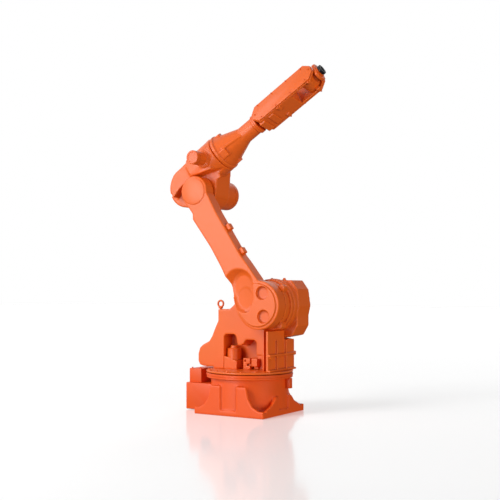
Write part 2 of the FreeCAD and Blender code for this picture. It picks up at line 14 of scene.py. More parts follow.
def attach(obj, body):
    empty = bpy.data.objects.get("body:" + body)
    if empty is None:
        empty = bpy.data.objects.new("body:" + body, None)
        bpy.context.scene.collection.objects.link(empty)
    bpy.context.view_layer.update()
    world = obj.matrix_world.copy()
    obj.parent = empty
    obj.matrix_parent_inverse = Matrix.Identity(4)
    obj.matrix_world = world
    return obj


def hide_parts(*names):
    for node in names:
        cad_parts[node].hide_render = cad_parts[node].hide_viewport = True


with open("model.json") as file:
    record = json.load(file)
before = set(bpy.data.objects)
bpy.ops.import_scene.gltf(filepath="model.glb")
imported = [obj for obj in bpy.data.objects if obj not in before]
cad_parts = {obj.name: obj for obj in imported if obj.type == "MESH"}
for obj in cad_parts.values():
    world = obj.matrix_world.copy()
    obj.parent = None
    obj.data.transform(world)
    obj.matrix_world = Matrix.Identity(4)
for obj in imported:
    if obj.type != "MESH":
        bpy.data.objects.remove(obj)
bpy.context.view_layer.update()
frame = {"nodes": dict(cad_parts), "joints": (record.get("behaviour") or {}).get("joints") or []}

LOG = logging.getLogger("robot_arm")
MM = 0.001
Point = tuple[float, float, float]
Outline = Sequence[tuple[float, float]]

SMOOTH_UNDER = 34.0  # degrees between faces that shade as one
MERGE_WITHIN = 0.00002  # metres between loose corners of a frame node that are one
FLAT_WITHIN = 0.6  # degrees between faces of a frame node that are one
SPIN_MERGE = 0.01  # millimetres between the ends of a spun profile on its axis

# Painted shade and highlight: these spans pick out inside corners, which are painted darker as
# shade, and sharp edges, which are painted lighter as a highlight. The green and blue powers make
# the painted shade go redder.
SHADED_CORNER_SPAN = (0.43, 0.495)  # pointiness of a deep inside corner, and of an open face
HIGHLIT_EDGE_SPAN = (0.58, 0.51)  # pointiness of a sharp outside edge, and of an open face
EDGE_HIGHLIGHT_SHARE = 0.4  # how far edges lighten, as a share of how far corners deepen
GREEN_FALL, BLUE_FALL = 1.6, 2  # powers by which green and blue follow the red


# ---- finishes

@dataclass(frozen=True)
class Finish:
    """A surface finish: colour, gloss, and the fine relief that the real one shows."""

    name: str
    colour: Point
    roughness: float
    metallic: float = 0.0
    coat: float = 0.0
    coat_roughness: float = 0.22
    cloud_scale: float = 5.0
    wipe_scale: float = 22.0
    wipe: float = 0.07
    mottle: float = 0.05
    peel: float = 0.00012
    peel_scale: float = 420.0
    grit: float = 0.0003
    grit_scale: float = 90.0
    # strength of the painted shade in inside corners and the painted highlight on edges; none at 0
    corner_shade_and_edge_highlight: float = 0.0

    def material(self) -> bpy.types.Material:
        """Makes the finish's node material, or gives the one already made.

        Returns:
            The material, which reads Object coordinates only.
        """
        known = bpy.data.materials.get(self.name)
        if known:
            return known
        made = bpy.data.materials.new(self.name)
        made.use_nodes = True
        nodes, links = made.node_tree.nodes, made.node_tree.links
        shader = nodes["Principled BSDF"]
        shader.inputs["Metallic"].default_value = self.metallic
        shader.inputs["Coat Weight"].default_value = self.coat
        shader.inputs["Coat Roughness"].default_value = self.coat_roughness
        place = nodes.new("ShaderNodeTexCoord")

        def noise(scale: float, detail: float) -> bpy.types.Node:
            """Adds a noise texture on Object coordinates.

            Args:
                scale: the texture's scale.
                detail: the texture's detail.

            Returns:
                The texture node.
            """
            made_noise = nodes.new("ShaderNodeTexNoise")
            made_noise.inputs["Scale"].default_value = scale
            made_noise.inputs["Detail"].default_value = detail
            links.new(place.outputs["Object"], made_noise.inputs["Vector"])
            return made_noise

        cloud = noise(self.cloud_scale, 4.0)
        tint = nodes.new("ShaderNodeMix")
        tint.data_type = "RGBA"
        tint.inputs["A"].default_value = (*(c * (1 - self.mottle) for c in self.colour), 1)
        tint.inputs["B"].default_value = (*(min(1, c * (1 + self.mottle)) for c in self.colour), 1)
        links.new(cloud.outputs["Fac"], tint.inputs["Factor"])
        links.new(self.painted_shade_and_highlight(made, tint.outputs["Result"]), shader.inputs["Base Color"])
        wipe = noise(self.wipe_scale, 5.0)
        gloss = nodes.new("ShaderNodeMapRange")
        gloss.inputs["To Min"].default_value = self.roughness - self.wipe
        gloss.inputs["To Max"].default_value = self.roughness + self.wipe
        links.new(wipe.outputs["Fac"], gloss.inputs["Value"])
        links.new(gloss.outputs["Result"], shader.inputs["Roughness"])
        under = None
        for relief, scale in ((self.grit, self.grit_scale), (self.peel, self.peel_scale)):
            bump = nodes.new("ShaderNodeBump")
            bump.inputs["Strength"].default_value = 0.5
            bump.inputs["Distance"].default_value = relief
            links.new(noise(scale, 3.0).outputs["Fac"], bump.inputs["Height"])
            if under:
                links.new(under.outputs["Normal"], bump.inputs["Normal"])
            under = bump
        links.new(under.outputs["Normal"], shader.inputs["Normal"])
        return made

    def painted_shade_and_highlight(self, made: bpy.types.Material, paint: bpy.types.NodeSocket) -> bpy.types.NodeSocket:
        """Paints shade into inside corners and a highlight onto sharp edges, both found by
        pointiness.

        Args:
            made: the material.
            paint: the paint's colour on open faces.

        Returns:
            The colour with painted shade in its corners and a painted highlight on its edges, or
            the same colour where the finish has none.
        """
        if not self.corner_shade_and_edge_highlight:
            return paint
        nodes, links = made.node_tree.nodes, made.node_tree.links
        shape = nodes.new("ShaderNodeNewGeometry")
        # painted shade darkens inside corners, and a painted highlight lightens edges
        for (far, near), gain in ((SHADED_CORNER_SPAN, 1 - self.corner_shade_and_edge_highlight),
                                  (HIGHLIT_EDGE_SPAN, 1 + self.corner_shade_and_edge_highlight * EDGE_HIGHLIGHT_SHARE)):
            span = nodes.new("ShaderNodeMapRange")
            span.inputs["From Min"].default_value = far
            span.inputs["From Max"].default_value = near
            links.new(shape.outputs["Pointiness"], span.inputs["Value"])
            mix = nodes.new("ShaderNodeMix")
            mix.data_type = "RGBA"
            mix.inputs["A"].default_value = (self.colour[0] * gain,
                                             self.colour[1] * gain ** GREEN_FALL,
                                             self.colour[2] * gain ** BLUE_FALL, 1)
            links.new(span.outputs["Result"], mix.inputs["Factor"])
            links.new(paint, mix.inputs["B"])
            paint = mix.outputs["Result"]
        return paint


class Surface(Enum):
    """The machine's finishes, by what carries them."""

    # The castings' finishes carry painted shade in their inside corners and a painted highlight on
    # their edges.
    CAST_PAINT = Finish("cast_paint", (0.74, 0.114, 0.008), 0.40, coat=0.25, grit=0.0004,
                        corner_shade_and_edge_highlight=0.5)
    PLATE_PAINT = Finish("plate_paint", (0.75, 0.116, 0.008), 0.37, coat=0.28, grit=0.0002,
                         peel=0.00006)
    MOTOR_PAINT = Finish("motor_paint_fine", (0.72, 0.106, 0.008), 0.36, coat=0.30, grit=0.0002)
    # The base's two finishes are the arm's orange made darker and redder: painted shade for the
    # dimmer light low down by the floor.
    SHADED_BASE_PAINT = Finish("base_paint_painted_shade", (0.74, 0.082, 0.006), 0.46, coat=0.08, grit=0.0005,
                        corner_shade_and_edge_highlight=0.5)
    SHADED_BASE_PLATE = Finish("base_plate_paint_painted_shade", (0.74, 0.082, 0.006), 0.42, coat=0.10, grit=0.0002,
                        peel=0.00006)
    BARE_STEEL = Finish("machined_steel", (0.46, 0.46, 0.47), 0.28, metallic=1.0, grit=0.0002)
    BLACK_FLANGE = Finish("black_oxide", (0.022, 0.022, 0.024), 0.38, metallic=0.6, grit=0.0002)
    BLACK_PLASTIC = Finish("moulded_black", (0.025, 0.025, 0.028), 0.5, grit=0.0005)


# ---- places

def joint(name: str) -> dict:
    """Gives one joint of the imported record."""
    return next(entry for entry in frame["joints"] if entry["name"] == name)


def seat(origin: Vector, x_axis: Vector, y_axis: Vector) -> Matrix:
    """Builds a frame of the machine.

    Args:
        origin: the frame's origin, in metres.
        x_axis: its own X direction.
        y_axis: its own Y direction, square to x_axis.

    Returns:
        The matrix that takes millimetres of that frame to metres of the machine.
    """
    turn = Matrix((x_axis, y_axis, x_axis.cross(y_axis))).transposed().to_4x4()
    return Matrix.Translation(origin) @ turn @ Matrix.Scale(MM, 4)


SHOULDER_POS = Vector(joint("shoulder")["pos_m"])
ELBOW_POS = Vector(joint("elbow")["pos_m"])
WRIST_POS = Vector(joint("wrist_bend")["pos_m"])
REACH = Vector(joint("forearm_roll")["axis"]).normalized()
WRIST_AXIS = Vector(joint("wrist_bend")["axis"]).normalized()
SIDE = Vector((0, 1, 0))
ARM_UP = (ELBOW_POS - SHOULDER_POS).normalized()
ARM_LENGTH = (ELBOW_POS - SHOULDER_POS).length / MM
WRIST_AHEAD = 992.0


class Place(Enum):
    """The frames that pieces are built in, each in millimetres."""

    WORLD = "world"
    SHOULDER = "shoulder"
    ARM = "arm"
    ELBOW = "elbow"
    FOREARM = "forearm"

    def matrix(self) -> Matrix:
        """Gives the matrix from this frame's millimetres to the machine's metres.

        Returns:
            The matrix.
        """
        if self is Place.WORLD:
            return Matrix.Scale(MM, 4)
        if self is Place.SHOULDER:
            return seat(SHOULDER_POS, Vector((1, 0, 0)), SIDE)
        if self is Place.ARM:
            return seat(SHOULDER_POS, SIDE.cross(ARM_UP), SIDE)
        if self is Place.ELBOW:
            return seat(ELBOW_POS, REACH, SIDE)
        return seat(WRIST_POS - REACH * WRIST_AHEAD * MM, REACH, WRIST_AXIS)


AXES = {"X": Vector((1, 0, 0)), "Y": Vector((0, 1, 0)), "Z": Vector((0, 0, 1))}


# ---- forms

class Form:
    """A mesh in the making, in the millimetres of one of the machine's frames."""

    def __init__(self, place: Place = Place.WORLD) -> None:
        """Starts an empty form in a frame."""
        self.place = place
        self.mesh = bmesh.new()

    def _round(self, verts: Iterable[bmesh.types.BMVert], radius: float, segments: int,
               least: float = 30.0) -> None:
        """Rounds the sharp edges among some vertices.

        Args:
            verts: the vertices.
            radius: radius of the rounding; none at 0.
            segments: steps in each rounded edge.
            least: the angle, in degrees, past which an edge is sharp.
        """
        inside = set(verts)
        edges = [edge for edge in self.mesh.edges
                 if edge.verts[0] in inside and edge.verts[1] in inside
                 and len(edge.link_faces) == 2
                 and edge.calc_face_angle(0.0) > math.radians(least)]
        if edges and radius > 0:
            bmesh.ops.bevel(self.mesh, geom=edges, offset=radius, offset_type="OFFSET",
                            segments=segments, profile=0.5, affect="EDGES", material=-1,
                            clamp_overlap=True)

    def block(self, low: Point, high: Point, round_by: float = 2.0, segments: int = 2) -> "Form":
        """Adds a box between two corners, with rounded edges.

        Args:
            low: lowest corner.
            high: highest corner.
            round_by: radius of its edges.
            segments: steps in each rounded edge.

        Returns:
            The form itself.
        """
        size = Vector(high) - Vector(low)
        middle = (Vector(high) + Vector(low)) / 2
        cube = bmesh.ops.create_cube(
            self.mesh, size=1.0, matrix=Matrix.Translation(middle) @ Matrix.Diagonal((*size, 1)))
        self._round(cube["verts"], round_by, segments)
        return self

    def drum(self, start: Point, axis: str, length: float, radius: float, end_radius: float = -1,
             round_by: float = 1.5, sides: int = 64) -> "Form":
        """Adds a cylinder or cone that starts at a point and runs along an axis.

        Args:
            start: middle of its first end.
            axis: X, Y or Z; a negative length runs the other way.
            length: how far it runs.
            radius: radius at the start.
            end_radius: radius at the end, or the same.
            round_by: radius of the rims.
            sides: number of facets.

        Returns:
            The form itself.
        """
        way = AXES[axis] * (1 if length > 0 else -1)
        turn = Vector((0, 0, 1)).rotation_difference(way).to_matrix().to_4x4()
        depth = abs(length)
        middle = Vector(start) + way * depth / 2
        made = bmesh.ops.create_cone(
            self.mesh, cap_ends=True, cap_tris=False, segments=sides, radius1=radius,
            radius2=radius if end_radius < 0 else end_radius, depth=depth,
            matrix=Matrix.Translation(middle) @ turn)
        self._round(made["verts"], round_by, 3, least=32.0)
        return self

    def turned(self, profile: Outline, centre: Point, axis: str, steps: int = 72) -> "Form":
        """Adds a turned piece: a profile of (along, radius) spun full round an axis.

        Args:
            profile: points from one end of the axis to the other.
            centre: the point on the axis that "along" counts from.
            axis: X, Y or Z.
            steps: facets round.

        Returns:
            The form itself.
        """
        way = AXES[axis]
        out = AXES["Z"] if axis != "Z" else AXES["X"]
        base = Vector(centre)
        old = set(self.mesh.verts)
        chain = [self.mesh.verts.new(base + way * along + out * radius)
                 for along, radius in profile]
        edges = [self.mesh.edges.new(pair) for pair in zip(chain, chain[1:])]
        bmesh.ops.spin(self.mesh, geom=chain + edges, cent=base, axis=way, dvec=(0, 0, 0),
                       angle=2 * math.pi, steps=steps, use_merge=True, use_duplicate=False)
        new = [vert for vert in self.mesh.verts if vert not in old]
        bmesh.ops.remove_doubles(self.mesh, verts=new, dist=SPIN_MERGE)
        faces = [face for face in self.mesh.faces if all(vert not in old for vert in face.verts)]
        bmesh.ops.recalc_face_normals(self.mesh, faces=faces)
        return self

    def prism(self, outline: Outline, low: float, high: float, axis: str = "Y",
              round_by: float = 2.0, segments: int = 2) -> "Form":
        """Adds an outline drawn square to an axis and drawn out along it.

        Args:
            outline: corners, as the two other coordinates in X, Y, Z order.
            low: where it starts along the axis.
            high: where it ends.
            axis: X, Y or Z.
            round_by: radius of its edges.
            segments: steps in each rounded edge.

        Returns:
            The form itself.
        """
        order = {"X": (1, 2, 0), "Y": (0, 2, 1), "Z": (0, 1, 2)}[axis]
        corners = []
        for first, second in outline:
            spot = [0.0, 0.0, 0.0]
            spot[order[0]], spot[order[1]], spot[order[2]] = first, second, low
            corners.append(self.mesh.verts.new(spot))
        lid = self.mesh.faces.new(corners)
        grown = bmesh.ops.extrude_face_region(self.mesh, geom=[lid])["geom"]
        moved = [item for item in grown if isinstance(item, bmesh.types.BMVert)]
        bmesh.ops.translate(self.mesh, verts=moved, vec=AXES[axis] * (high - low))
        faces = {face for vert in corners + moved for face in vert.link_faces}
        bmesh.ops.recalc_face_normals(self.mesh, faces=list(faces))
        self._round(corners + moved, round_by, segments)
        return self

    def bolt(self, seat_at: Point, axis: str, out: int, size: float = 10.0,
             socket: bool = True) -> "Form":
        """Adds a screw head on a face: a washer and a socket or hexagon head.

        Args:
            seat_at: point on the face.
            axis: axis that the screw runs along.
            out: 1 or -1, the way the head stands out.
            size: thread diameter.
            socket: a round head with a hexagon socket, or a hexagon head.

        Returns:
            The form itself.
        """
        start = Vector(seat_at)
        way = AXES[axis] * out
        self.drum(tuple(start - way * 0.5), axis, out * (size * 0.2 + 0.5), size * 1.05,
                  round_by=0.4, sides=20)
        top = start + way * size * 0.2
        if not socket:
            self.drum(tuple(top), axis, out * size * 0.65, size * 0.92, round_by=0.6, sides=6)
            return self
        old = set(self.mesh.verts)
        self.drum(tuple(top - way * 0.3), axis, out * (size * 0.9 + 0.3), size * 0.8,
                  round_by=0.5, sides=18)
        new = [vert for vert in self.mesh.verts if vert not in old]
        lids = {face for vert in new for face in vert.link_faces
                if len(face.verts) >= 18 and face.normal.dot(way) > 0.9}
        for lid in lids:
            bmesh.ops.inset_region(self.mesh, faces=[lid], thickness=size * 0.32, depth=0)
            bmesh.ops.translate(self.mesh, verts=list(lid.verts), vec=-way * size * 0.45)
        return self

    def turn(self, degrees: float, axis: str, centre: Point, since: set) -> "Form":
        """Turns everything newer than a set of vertices round an axis.

        Args:
            degrees: how far.
            axis: X, Y or Z.
            centre: a point on the axis.
            since: the vertices that stay.

        Returns:
            The form itself.
        """
        new = [vert for vert in self.mesh.verts if vert not in since]
        bmesh.ops.rotate(self.mesh, verts=new, cent=centre,
                         matrix=Matrix.Rotation(math.radians(degrees), 3, axis))
        return self

    def copy_node(self, node: str) -> "Form":
        """Adds a merged copy of a frame node's own mesh.

        Args:
            node: the node's name.

        Returns:
            The form itself.
        """
        fresh = bmesh.new()
        fresh.from_mesh(frame["nodes"][node].data)
        bmesh.ops.remove_doubles(fresh, verts=fresh.verts[:], dist=MERGE_WITHIN)
        bmesh.ops.dissolve_limit(fresh, angle_limit=math.radians(FLAT_WITHIN),
                                 verts=fresh.verts[:], edges=fresh.edges[:],
                                 use_dissolve_boundaries=False)
        bmesh.ops.transform(fresh, matrix=self.place.matrix().inverted(), verts=fresh.verts[:])
        carrier = bpy.data.meshes.new("carrier")
        fresh.to_mesh(carrier)
        fresh.free()
        self.mesh.from_mesh(carrier)
        bpy.data.meshes.remove(carrier)
        return self

    def soften(self, radius: float, segments: int = 3, least: float = 28.0) -> "Form":
        """Rounds every sharp edge of the form."""
        self._round(self.mesh.verts[:], radius, segments, least)
        return self

    def to_object(self, name: str) -> bpy.types.Object:
        """Ends the form as an object whose mesh is in place, in metres.

        Args:
            name: the object's name.

        Returns:
            The new object, linked to the scene at the origin.
        """
        bmesh.ops.transform(self.mesh, matrix=self.place.matrix(), verts=self.mesh.verts[:])
        for face in self.mesh.faces:
            face.smooth = True
        for edge in self.mesh.edges:
            edge.smooth = (len(edge.link_faces) == 2
                           and edge.calc_face_angle(0) < math.radians(SMOOTH_UNDER))
        data = bpy.data.meshes.new(name)
        self.mesh.to_mesh(data)
        self.mesh.free()
        made = bpy.data.objects.new(name, data)
        bpy.context.scene.collection.objects.link(made)
        return made


def bake_modifiers(made: bpy.types.Object) -> None:
    """Applies an object's modifiers to its mesh.

    Args:
        made: the object.
    """
    graph = bpy.context.evaluated_depsgraph_get()
    baked = bpy.data.meshes.new_from_object(made.evaluated_get(graph))
    made.modifiers.clear()
    old = made.data
    name = old.name
    made.data = baked
    bpy.data.meshes.remove(old)
    baked.name = name


def as_casting(made: bpy.types.Object, cutters: Sequence[bpy.types.Object], grain: float,
               passes: int) -> None:
    """Runs overlapping solids together into one casting with soft inside and outside corners.

    Args:
        made: the object whose mesh holds the solids.
        cutters: solids to take away, which are removed from the scene.
        grain: mesh pitch, in millimetres.
        passes: smoothing passes, which set the radius of the corners.
    """
    def remesh() -> None:
        """Adds one voxel pass."""
        voxel = made.modifiers.new("voxel", "REMESH")
        voxel.mode = "VOXEL"
        voxel.voxel_size = grain * MM
        voxel.use_smooth_shade = True

    remesh()
    if cutters:
        bake_modifiers(made)
        for cutter in cutters:
            away = made.modifiers.new("away", "BOOLEAN")
            away.operation = "DIFFERENCE"
            away.solver = "MANIFOLD"
            away.object = cutter
        remesh()
    soft = made.modifiers.new("soft", "SMOOTH")
    soft.factor = 0.5
    soft.iterations = passes
    bake_modifiers(made)
    for cutter in cutters:
        bpy.data.objects.remove(cutter)


def dress(made: bpy.types.Object, surface: Surface, body: str,
          replaces: Sequence[str] = ()) -> None:
    """Gives a piece its finish, its body and the nodes that it stands for.

    Args:
        made: the piece.
        surface: its finish.
        body: the frame body that it rides on.
        replaces: frame nodes that it stands for.
    """
    made.data.materials.clear()
    made.data.materials.append(surface.value.material())
    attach(made, body)
    if replaces:
        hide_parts(*replaces)
    LOG.info("%s: %d faces on %s", made.name, len(made.data.polygons), body)


@dataclass
class SubAssembly:
    """Pieces that ride on one body of the frame."""

    body: str

    def piece(self, form: Form, name: str, surface: Surface,
              replaces: Sequence[str] = ()) -> bpy.types.Object:
        """Finishes a form as a piece with crisp, rounded edges.

        Args:
            form: the piece's form.
            name: the piece's name.
            surface: its finish.
            replaces: frame nodes that it stands for.

        Returns:
            The finished object.
        """
        made = form.to_object(name)
        dress(made, surface, self.body, replaces)
        return made

    def casting(self, form: Form, name: str, surface: Surface, replaces: Sequence[str] = (),
                cuts: Sequence[Form] = (), grain: float = 5.0, passes: int = 6) -> bpy.types.Object:
        """Finishes a form as one casting with soft corners.

        Args:
            form: overlapping solids that make the casting.
            name: the piece's name.
            surface: its finish.
            replaces: frame nodes that it stands for.
            cuts: solids to take away.
            grain: mesh pitch in millimetres.
            passes: smoothing passes.

        Returns:
            The finished object.
        """
        made = form.to_object(name)
        cutters = [cut.to_object(f"{name}_cut") for cut in cuts]
        as_casting(made, cutters, grain, passes)
        dress(made, surface, self.body, replaces)
        return made

    def soft_copies(self, nodes: dict[str, tuple[Surface, float]]) -> None:
        """Makes a piece with rounded edges out of each of some frame nodes.

        Args:
            nodes: for each node, its finish and the radius of its edges.
        """
        for node, (surface, radius) in nodes.items():
            form = Form().copy_node(node).soften(radius)
            self.piece(form, f"{node}_finished", surface, [node])


# ---- sub-assemblies

@dataclass
class Base(SubAssembly):
    """Square foot, flared legs, barrel, ring and the cable boxes behind it."""

    body: str = "base"
    hole_at: float = 215.0
    hole_radius: float = 11.0
    spot_radius: float = 25.0
    spot_height: float = 3.0
    panel_face: float = -414.0
    panel_screw: tuple[float, float, float] = (94.0, 30.0, 148.0)
    connector_at: tuple[float, float] = (45.0, 89.0)
    pins: int = 6
    pin_ring: float = 11.0
    lid_face: float = 262.0
    lid_screws: Outline = ((-84.0, -382.0), (-84.0, -316.0), (84.0, -382.0), (84.0, -316.0))

    def foot(self) -> None:
        """Casts the foot, legs and barrel, with a raised spot face round each anchor hole."""
        form = Form().copy_node("base_casting")
        holes = Form()
        for x_hand in (-1, 1):
            for y_hand in (-1, 1):
                spot = (x_hand * self.hole_at, y_hand * self.hole_at, 30.0)
                form.drum(spot, "Z", self.spot_height + 2, self.spot_radius, round_by=0, sides=40)
                holes.drum((spot[0], spot[1], -10.0), "Z", 60.0, self.hole_radius,
                           round_by=0, sides=32)
        self.casting(form, "base_body", Surface.SHADED_BASE_PAINT, ["base_casting"], [holes], grain=4.0,
                     passes=9)

    def connectors(self) -> None:
        """Makes the two round sockets on the rear panel."""
        profile = [(0, 0), (0, 27), (-2, 30), (-5, 30), (-6, 26), (-13, 26), (-14, 28.5),
                   (-22, 28.5), (-24, 26), (-24, 22), (-9, 20.5), (-9, 0)]
        for name, side in (("power_connector", -1), ("signal_connector", 1)):
            middle = (self.panel_face, side * self.connector_at[0], self.connector_at[1])
            form = Form().turned(profile, middle, "X")
            for step in range(self.pins):
                turn = math.radians(360 / self.pins * step)
                form.drum((self.panel_face - 8.5, middle[1] + self.pin_ring * math.cos(turn),
                           middle[2] + self.pin_ring * math.sin(turn)), "X", -9, 2.2,
                          round_by=0.5, sides=14)
            self.piece(form, f"{name}_socket", Surface.BLACK_PLASTIC, [name])

    def build(self) -> None:
        """Builds the base."""
        self.foot()
        ring = [(221, 0), (221, 268), (223, 270), (231, 270), (233, 268), (235, 268), (237, 272),
                (246, 272), (249, 269), (249, 0)]
        self.piece(Form().turned(ring, (0, 0, 0), "Z", 128), "bearing_ring", Surface.SHADED_BASE_PLATE,
                   ["base_ring"])
        self.connectors()
        self.soft_copies({
            "cable_box": (Surface.SHADED_BASE_PLATE, 4.0),
            "cable_riser": (Surface.SHADED_BASE_PLATE, 4.0),
            "cable_panel": (Surface.SHADED_BASE_PLATE, 2.0),
            "swivel_stop": (Surface.SHADED_BASE_PLATE, 4.0),
        })
        screws = Form()
        side, low, high = self.panel_screw
        for across in (-side, 0.0, side):
            for up in (low, high):
                screws.bolt((self.panel_face, across, up), "X", -1, 6.0)
        for across, ahead in self.lid_screws:
            screws.bolt((ahead, across, self.lid_face), "Z", 1, 6.0)
        self.piece(screws, "cable_box_screws", Surface.SHADED_BASE_PLATE)


@dataclass
class Column(SubAssembly):
    """Swivelling column with its recess, ribs, shoulder housing and motors."""

    body: str = "column"
    floor: float = 265.0
    near_face: float = -50.0
    motor_x: float = -115.0
    flange_bolt_ring: float = 256.0
    shoulder_at: Point = (143.0, 0.0, 670.0)
    lugs: tuple[Point, ...] = ((-52.0, 24.0, 157.0), (42.0, 22.0, 154.0))
    mount_face: float = 236.0
    mount_bolt: float = 76.0

    def casting_body(self) -> None:
        """Casts the column with the lugs that stand out behind the lower arm."""
        form = Form().copy_node("column_casting")
        shoulder = Vector(self.shoulder_at)
        for degrees, radius, reach in self.lugs:
            turn = math.radians(degrees)
            form.drum((shoulder.x + reach * math.cos(turn), self.near_face,
                       shoulder.z + reach * math.sin(turn)), "Y", 52.0, radius, round_by=0,
                      sides=40)
        self.casting(form, "column_body", Surface.CAST_PAINT, ["column_casting"], grain=4.5,
                     passes=7)

    def recess_fittings(self) -> None:
        """Makes the motor guard, the motor and the brackets in the near recess."""
        guard = Form().prism(
            [(-162, self.floor), (-67, self.floor), (-67, 317), (-92, 324), (-130, 339),
             (-162, 345)],
            self.near_face, self.near_face + 14, "Y", round_by=0)
        guard.block((-160, self.near_face + 6, self.floor), (-68, 45, 320), 0)
        self.casting(guard, "motor_guard", Surface.CAST_PAINT, ["swivel_motor_mount"], grain=2.6,
                     passes=7)
        can = [(322, 0), (322, 44), (380, 44), (381, 42), (384, 42), (385, 44), (391, 44),
               (395, 39), (395, 25), (409, 24), (412, 21), (412, 0)]
        self.piece(Form().turned(can, (self.motor_x, 0, 0), "Z", 72), "recess_motor",
                   Surface.MOTOR_PAINT, ["swivel_motor"])
        bracket = Form().block((-38, -20, self.floor), (14, 10, 335), 0)
        bracket.block((-38, -14, self.floor), (14, 30, 290), 0)
        notch = Form().block((-10, -40, 287), (16, -4, 302), 1)
        notch.drum((-22, -40, 318), "Y", 30, 7, round_by=0, sides=24)
        self.casting(bracket, "bracket_post", Surface.CAST_PAINT, ["recess_bracket"], [notch],
                     grain=2.4, passes=6)
        block = Form().block((24, -20, 285), (66, 45, 333), 0)
        block.block((30, 2, 267), (60, 45, 290), 0)
        self.casting(block, "bracket_block", Surface.CAST_PAINT, ["recess_block"], grain=2.4,
                     passes=6)
        deep = Form().prism([(46, self.floor), (98, self.floor), (98, 330), (84, 356), (46, 344)],
                            18, 49, "Y", round_by=0)
        self.casting(deep, "recess_web", Surface.CAST_PAINT, grain=2.6, passes=6)

    def front_plate(self) -> None:
        """Finishes the ribbed front plate and adds its boss."""
        form = Form().copy_node("column_front_plate")
        form.drum((213, -111, 356), "X", 16, 17, 14, round_by=0, sides=36)
        self.casting(form, "ribbed_front", Surface.CAST_PAINT, ["column_front_plate"], grain=3.0,
                     passes=4)

    def shoulder(self) -> None:
        """Casts the shoulder housing with its rings and studs, and its motor."""
        form = Form(Place.SHOULDER).copy_node("shoulder_housing")
        for start, length, radius in ((4.0, 14.0, 161.0), (40.0, 30.0, 164.0)):
            form.drum((0, start, 0), "Y", length, radius, round_by=0, sides=96)
        for across in (-30.0, 60.0):
            form.drum((across, 84, 150), "Z", 19, 9.5, round_by=0, sides=28)
        self.casting(form, "shoulder_case", Surface.CAST_PAINT, ["shoulder_housing"], grain=4.5,
                     passes=5)
        mount = Form(Place.SHOULDER).block((-90, 218, -90), (90, self.mount_face, 90), 7, 3)
        for x_hand in (-1, 1):
            for z_hand in (-1, 1):
                mount.bolt((x_hand * self.mount_bolt, self.mount_face, z_hand * self.mount_bolt),
                           "Y", 1, 10.0)
        self.piece(mount, "shoulder_motor_plate", Surface.MOTOR_PAINT, ["shoulder_motor_mount"])
        self.piece(motor_can(Place.SHOULDER, self.mount_face, 340, 78, 0, 0, 1),
                   "shoulder_motor_can", Surface.MOTOR_PAINT, ["shoulder_motor"])
        self.piece(motor_plug(Place.SHOULDER, (0, 302, 74)), "shoulder_motor_plug",
                   Surface.BLACK_PLASTIC)

    def flange_bolts(self) -> None:
        """Sets the ring of cap screws in the column's flange, clear of the castings."""
        form = Form()
        for degrees in [*range(-150, -44, 20), *range(64, 124, 18)]:
            turn = math.radians(degrees)
            form.bolt((self.flange_bolt_ring * math.cos(turn),
                       self.flange_bolt_ring * math.sin(turn), self.floor), "Z", 1, 7.0)
        self.piece(form, "column_flange_bolts", Surface.PLATE_PAINT)

    def build(self) -> None:
        """Builds the column."""
        self.casting_body()
        self.recess_fittings()
        self.front_plate()
        self.shoulder()
        self.flange_bolts()
        self.soft_copies({
            "column_flange": (Surface.PLATE_PAINT, 3.0),
            "column_side_lug": (Surface.PLATE_PAINT, 6.0),
            "rear_eyebolt": (Surface.PLATE_PAINT, 1.0),
        })


def motor_can(place: Place, start: float, end: float, radius: float, x: float, z: float,
              way: int) -> Form:
    """Makes a servo motor's can: body, grooved rear cover and a shallow dished end.

    Args:
        place: the frame it is built in; the can runs along that frame's Y.
        start: where it leaves its mount.
        end: its far end.
        radius: radius of the can.
        x: where its axis stands along X.
        z: where its axis stands along Z.
        way: 1 or -1, the way that it points along Y.

    Returns:
        The motor's form.
    """
    length = abs(end - start)
    cover = length * 0.30
    edge = radius * 0.09
    profile = [(0, 0), (0, radius), (length - cover - 4, radius),
               (length - cover - 3, radius - 3),
               (length - cover, radius - 3), (length - cover + 1, radius - 0.5),
               (length - edge, radius - 0.5), (length - edge * 0.3, radius - edge * 0.35),
               (length, radius - edge * 1.2), (length, radius * 0.72),
               (length - 3, radius * 0.68), (length - 3, 0)]
    return Form(place).turned([(along * way, out) for along, out in profile], (x, start, z),
                              "Y", 96)


def motor_plug(place: Place, foot: Point) -> Form:
    """Makes a motor's angled connector, standing on the can.

    Args:
        place: the frame it is built in.
        foot: middle of its foot, on the can's top.

    Returns:
        The connector's form.
    """
    x, y, z = foot
    form = Form(place).block((x - 15, y - 15, z - 6), (x + 15, y + 15, z + 9), 3)
    form.drum((x, y, z + 8), "Z", 14, 12, round_by=1.5, sides=40)
    return form.drum((x, y, z + 21), "Z", 5, 13.5, 12.0, round_by=1.0, sides=40)


